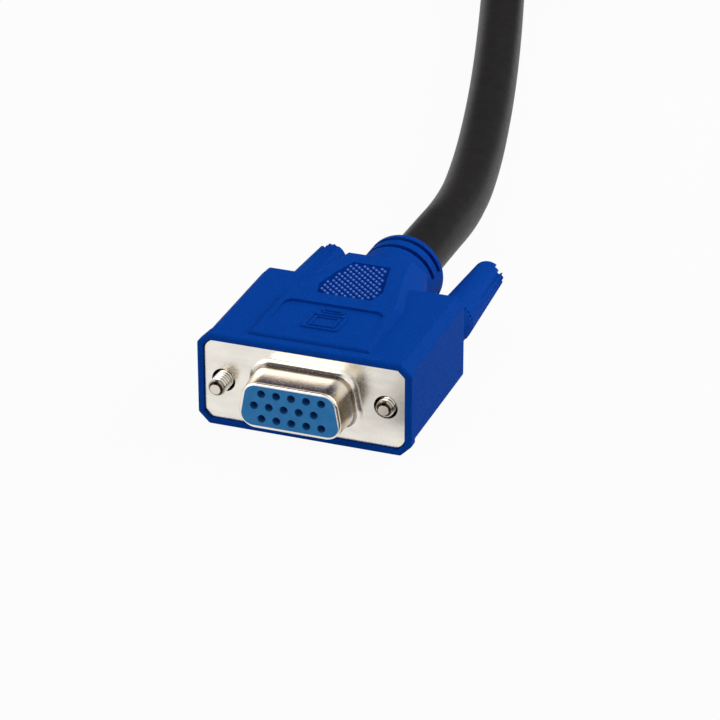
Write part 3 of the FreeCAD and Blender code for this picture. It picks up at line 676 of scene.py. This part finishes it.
def rounded_corners(corners, radius):
    """Closed outline in the plane with every corner replaced by an arc."""
    outline = []
    count = len(corners)
    for index, corner in enumerate(corners):
        here = Vector(corner)
        before = (Vector(corners[index - 1]) - here).normalized()
        after = (Vector(corners[(index + 1) % count]) - here).normalized()
        half = before.angle(after) / 2
        reach = radius / math.tan(half)
        middle = here + (before + after).normalized() * (radius / math.sin(half))
        start = here + before * reach - middle
        finish = here + after * reach - middle
        sweep = start.angle(finish)
        side = 1 if start.x * finish.y - start.y * finish.x > 0 else -1
        for step in range(CORNER_STEPS + 1):
            turn = Matrix.Rotation(side * sweep * step / CORNER_STEPS, 2)
            outline.append(middle + turn @ start)
    return outline


def shrunk(outline, inset):
    """Outline moved inwards, for one that runs counterclockwise."""
    inner = []
    count = len(outline)
    for index, point in enumerate(outline):
        along = outline[(index + 1) % count] - outline[index - 1]
        inner.append(point + Vector((-along.y, along.x)).normalized() * inset)
    return inner


def make_sign(prefix, end):
    """Raised monitor: the outlines of its case, its screen and its foot."""
    low = PANEL_FLOOR - SIGN_BURY
    high = PANEL_FLOOR + SIGN_RISE
    points = []
    faces = []
    for corners, radius, width in SIGN_OUTLINES:
        outline = rounded_corners(corners, radius)
        count = len(outline)
        first = len(points)
        rings = [
            (0, low),
            (0, high - SIGN_EDGE),
            (SIGN_EDGE, high),
            (width - SIGN_EDGE, high),
            (width, high - SIGN_EDGE),
            (width, low),
        ]
        for inset, z in rings:
            points.extend(end + Vector((*spot, z)) for spot in shrunk(outline, inset))
        for ring in range(len(rings)):
            here = first + ring * count
            beside = first + (ring + 1) % len(rings) * count
            for step in range(count):
                after = (step + 1) % count
                faces.append((here + step, here + after, beside + after, beside + step))
    mesh = mesh_from(f"{prefix}monitor_sign", points, faces, SIGN_SHARP)
    return add_object(f"{prefix}monitor_sign", mesh, "cable", HOOD)


def strap_band(angles, inner, outer, closed):
    """Points and faces of a band drawn taut round the coil's turns, with soft edges."""
    low = TIE_THICKNESS + CABLE / 2
    high = CABLE * 1.5
    near = COIL_OUTER - CABLE * (COIL_RINGS - 1)
    turns = [
        Vector((near, low)),
        Vector((COIL_OUTER, low)),
        Vector((COIL_OUTER, high)),
        Vector((near, high)),
    ]
    lean = math.radians(TIE_TURN)
    radial = Vector((math.cos(lean), math.sin(lean), 0))
    along = Vector((-radial.y, radial.x, 0))
    base = Vector((*COIL_MIDDLE, FLOOR / MM))
    half = TIE_WIDTH / 2
    soft = (outer - inner) * TIE_SOFT_SHARE
    lanes = [
        (inner, soft - half),
        (inner + soft, -half),
        (outer - soft, -half),
        (outer, soft - half),
        (outer, half - soft),
        (outer - soft, half),
        (inner + soft, half),
        (inner, half - soft),
    ]
    points = []
    for angle in angles:
        way = Vector((math.cos(angle), math.sin(angle)))
        held = max(turns, key=lambda middle: middle.dot(way))
        for reach, offset in lanes:
            spot = held + way * reach
            points.append(base + radial * spot.x + Vector((0, 0, spot.y)) + along * offset)
    faces = rings_to_faces(len(angles), len(lanes), not closed)
    if closed:
        last = (len(angles) - 1) * len(lanes)
        for step in range(len(lanes)):
            after = (step + 1) % len(lanes)
            faces.append((last + step, last + after, after, step))
    return points, faces


def make_tie():
    """Woven strap round the coil, closed by its own overlapping end on top."""
    inner = CABLE / 2
    outer = inner + TIE_THICKNESS
    round_trip = [2 * math.pi * step / TIE_STEPS for step in range(TIE_STEPS)]
    points, faces = strap_band(round_trip, inner, outer, True)
    flap_angles = [math.radians(angle) for angle in FLAP_ANGLES]
    flap_points, flap_faces = strap_band(flap_angles, outer, outer + TIE_THICKNESS, False)
    faces += moved(flap_faces, len(points))
    mesh = mesh_from("coil_strap", points + flap_points, faces, STRAP_SHARP)
    strap = add_object("coil_strap", mesh, "cable", STRAP)
    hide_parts("cable_tie")
    return strap


def make_camera():
    data = bpy.data.cameras.new("camera")
    data.lens = LENS
    data.sensor_width = SENSOR
    data.clip_start, data.clip_end = CLIP
    camera = bpy.data.objects.new("camera", data)
    scene.collection.objects.link(camera)
    back = -CAMERA_FORWARD.normalized()
    right = (CAMERA_RIGHT - back * CAMERA_RIGHT.dot(back)).normalized()
    up = back.cross(right)
    turn = Matrix((right, up, back)).transposed().to_4x4()
    camera.matrix_world = Matrix.Translation(CAMERA_PLACE) @ turn
    scene.camera = camera


def floor_material():
    """White to the camera and in mirrored light, apart from a dim corner, with a trace of shadow."""
    tree = Tree.new("floor_white")
    tree.set(Base_Color=grey(FLOOR_SHADE), Roughness=0.9, Specular_IOR_Level=0.0)
    path = tree.node("ShaderNodeLightPath").outputs
    mirrored = tree.maths("MAXIMUM", path["Is Glossy Ray"], path["Is Transmission Ray"])
    share = tree.maths("MULTIPLY", mirrored, FLOOR_MIRRORED_WHITE)
    seen = tree.maths("MULTIPLY_ADD", path["Is Camera Ray"], FLOOR_SEEN_WHITE, share)
    place = tree.split(tree.coordinates())
    dimmed = path["Is Glossy Ray"]
    for axis, first, last in zip("XY", FLOOR_DIM_FROM, FLOOR_DIM_TO):
        dimmed = tree.maths("MULTIPLY", tree.spread(place[axis], first, last, soft=True), dimmed)
    white = tree.node("ShaderNodeEmission")
    shade = tree.ramp(dimmed, [(0.0, grey(1.0)), (1.0, srgb(*FLOOR_DIM_SRGB))])
    tree.link(shade, white.inputs["Color"])
    surface = tree.mix_shader(seen, tree.shader.outputs["BSDF"], white.outputs["Emission"])
    tree.link(surface, tree.tree.nodes["Material Output"].inputs["Surface"])
    return tree.owner


def make_floor():
    mesh = bpy.data.meshes.new("floor")
    grid = bmesh.new()
    bmesh.ops.create_grid(grid, x_segments=1, y_segments=1, size=FLOOR_HALF)
    grid.to_mesh(mesh)
    grid.free()
    mesh.materials.append(floor_material())
    floor = bpy.data.objects.new("floor", mesh)
    floor.location.z = FLOOR
    scene.collection.objects.link(floor)


def make_world():
    """Pale studio, white to the camera, with two dim sides in what the metal mirrors."""
    world = bpy.data.worlds.new("studio")
    scene.world = world
    world.use_nodes = True
    tree = Tree(world)
    around = tree.tree.nodes["Background"]
    around.inputs["Color"].default_value = grey(WORLD_LEVEL)
    place = tree.node("ShaderNodeTexCoord")
    sides = []
    for side, edge, core in DIM_SIDES:
        towards = tree.node("ShaderNodeVectorMath", operation="DOT_PRODUCT")
        towards.inputs[1].default_value = side.normalized()
        tree.link(place.outputs["Generated"], towards.inputs[0])
        sides.append(tree.spread(towards.outputs["Value"], edge, core, soft=True))
    room = tree.ramp(tree.maths("MAXIMUM", *sides), [(0.0, grey(1.0)), (1.0, srgb(*DIM_SRGB))])
    mirrored = tree.node("ShaderNodeBackground")
    tree.link(room, mirrored.inputs["Color"])
    plain = tree.node("ShaderNodeBackground")
    plain.inputs["Color"].default_value = grey(1.0)
    path = tree.node("ShaderNodeLightPath").outputs
    surface = around.outputs["Background"]
    looks = {"Is Glossy Ray": mirrored, "Is Transmission Ray": plain, "Is Camera Ray": plain}
    for ray, seen in looks.items():
        surface = tree.mix_shader(path[ray], surface, seen.outputs["Background"])
    tree.link(surface, tree.tree.nodes["World Output"].inputs["Surface"])


def make_lamps():
    for name, place, target, size, power, mirrored in LAMPS:
        data = bpy.data.lights.new(name, "AREA")
        data.shape = "SQUARE"
        data.size = size
        data.energy = power
        lamp = bpy.data.objects.new(name, data)
        lamp.visible_glossy = mirrored
        scene.collection.objects.link(lamp)
        lamp.location = place
        aim = Vector(target) - Vector(place)
        lamp.rotation_euler = aim.to_track_quat("-Z", "Y").to_euler()


dress_nodes()
make_screw("left", SOCKET_PLACE, -SCREW_SPACING / 2, 0)
make_screw("right", SOCKET_PLACE, SCREW_SPACING / 2, RIGHT_BACK)
plug_screws = [
    make_screw("plug_left", PLUG_PLACE, -SCREW_SPACING / 2, 0),
    make_screw("plug_right", PLUG_PLACE, SCREW_SPACING / 2, 0),
]
make_sign("", SOCKET_PLACE)
plug_sign = make_sign("plug_", PLUG_PLACE)
tie = make_tie()
make_cable()
make_camera()
make_floor()
make_world()
make_lamps()
scene.view_settings.view_transform = "Standard"
